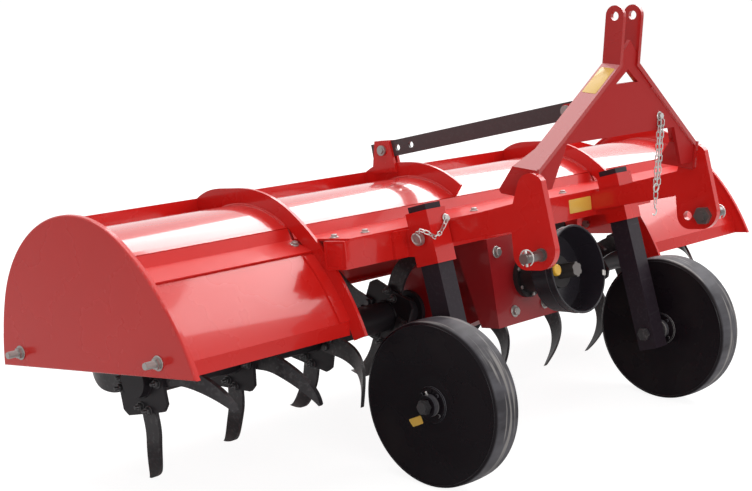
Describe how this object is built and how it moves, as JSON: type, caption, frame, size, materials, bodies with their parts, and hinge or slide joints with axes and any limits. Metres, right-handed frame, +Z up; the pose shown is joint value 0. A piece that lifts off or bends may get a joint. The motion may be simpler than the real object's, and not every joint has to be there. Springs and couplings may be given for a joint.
{
  "type": "rotavator",
  "caption": "Tractor-mounted rotary tiller: arched hood, centre-driven rotor with hooked tines, two gauge wheels, A-frame hitch with stay bar, guarded PTO input and hinged rear board.",
  "frame": {"origin": "middle of the machine's outline seen from above, on the ground it stands on", "axes": "+X to the machine's left, -Y towards the tractor and the direction of travel, +Z up"},
  "size_m": [2.168, 0.917, 1.0123],
  "materials": {
    "red_paint": "gloss",
    "steel": "zinc plated",
    "leg_black": "satin",
    "wheel_black": "satin",
    "rotor_black": "satin",
    "tine_black": "satin",
    "housing": "satin",
    "guard": "matte",
    "bar_black": "satin"
  },
  "bodies": {
    "frame": {"end_plate_right": "red_paint", "end_plate_left": "red_paint", "side_studs": "steel", "hood_skin": "red_paint", "rib_centre": "red_paint", "rib_right": "red_paint", "rib_left": "red_paint", "rear_rail": "red_paint", "front_rail": "red_paint", "front_panel_right": "red_paint", "front_panel_left": "red_paint", "main_beam": "red_paint", "leg_socket_right": "red_paint", "leg_socket_left": "red_paint", "wheel_leg_right": "leg_black", "wheel_leg_left": "leg_black", "leg_pin_right": "steel", "leg_pin_left": "steel", "wheel_axle_right": "steel", "wheel_axle_left": "steel", "drive_case": "red_paint", "front_face": "red_paint", "input_housing": "housing", "pto_guard": "guard", "hitch_plate_right": "red_paint", "hitch_plate_left": "red_paint", "link_pin_right": "steel", "link_pin_left": "steel", "mast_side_right": "red_paint", "mast_side_left": "red_paint", "mast_web": "red_paint", "stay_bar": "bar_black", "stay_pins": "steel", "rib_ears": "red_paint", "web_ears": "red_paint", "hinge_rod": "steel"},
    "rotor": {"rotor_right": "rotor_black", "rotor_left": "rotor_black", "tines_right": "tine_black", "tines_left": "tine_black", "rotor_shaft": "rotor_black"},
    "wheel_right": {"gauge_wheel_right": "wheel_black"},
    "wheel_left": {"gauge_wheel_left": "wheel_black"},
    "input": {"input_shaft": "steel"},
    "rear_board": {"rear_board": "red_paint"}
  },
  "joints": [
    {"name": "rotor_spin", "type": "hinge", "parent": "frame", "child": "rotor", "pos_m": [0, 0.15239, 0.23526], "axis": [1, 0, 0], "continuous": true},
    {"name": "input_spin", "type": "hinge", "parent": "frame", "child": "input", "pos_m": [0, -0.13341, 0.35771], "axis": [0, -0.9567, 0.2911], "continuous": true},
    {"name": "wheel_right_spin", "type": "hinge", "parent": "frame", "child": "wheel_right", "pos_m": [-0.453, -0.26811, 0.18139], "axis": [1, 0, 0], "continuous": true},
    {"name": "wheel_left_spin", "type": "hinge", "parent": "frame", "child": "wheel_left", "pos_m": [0.453, -0.26811, 0.18139], "axis": [1, 0, 0], "continuous": true},
    {"name": "rear_board_lift", "type": "hinge", "parent": "frame", "child": "rear_board", "pos_m": [0, 0.37596, 0.45728], "axis": [1, 0, 0], "range_deg": [0, 55]}
  ],
  "couplings": [
    {"joint": "input_spin", "follows": "rotor_spin", "ratio": 2.7}
  ]
}
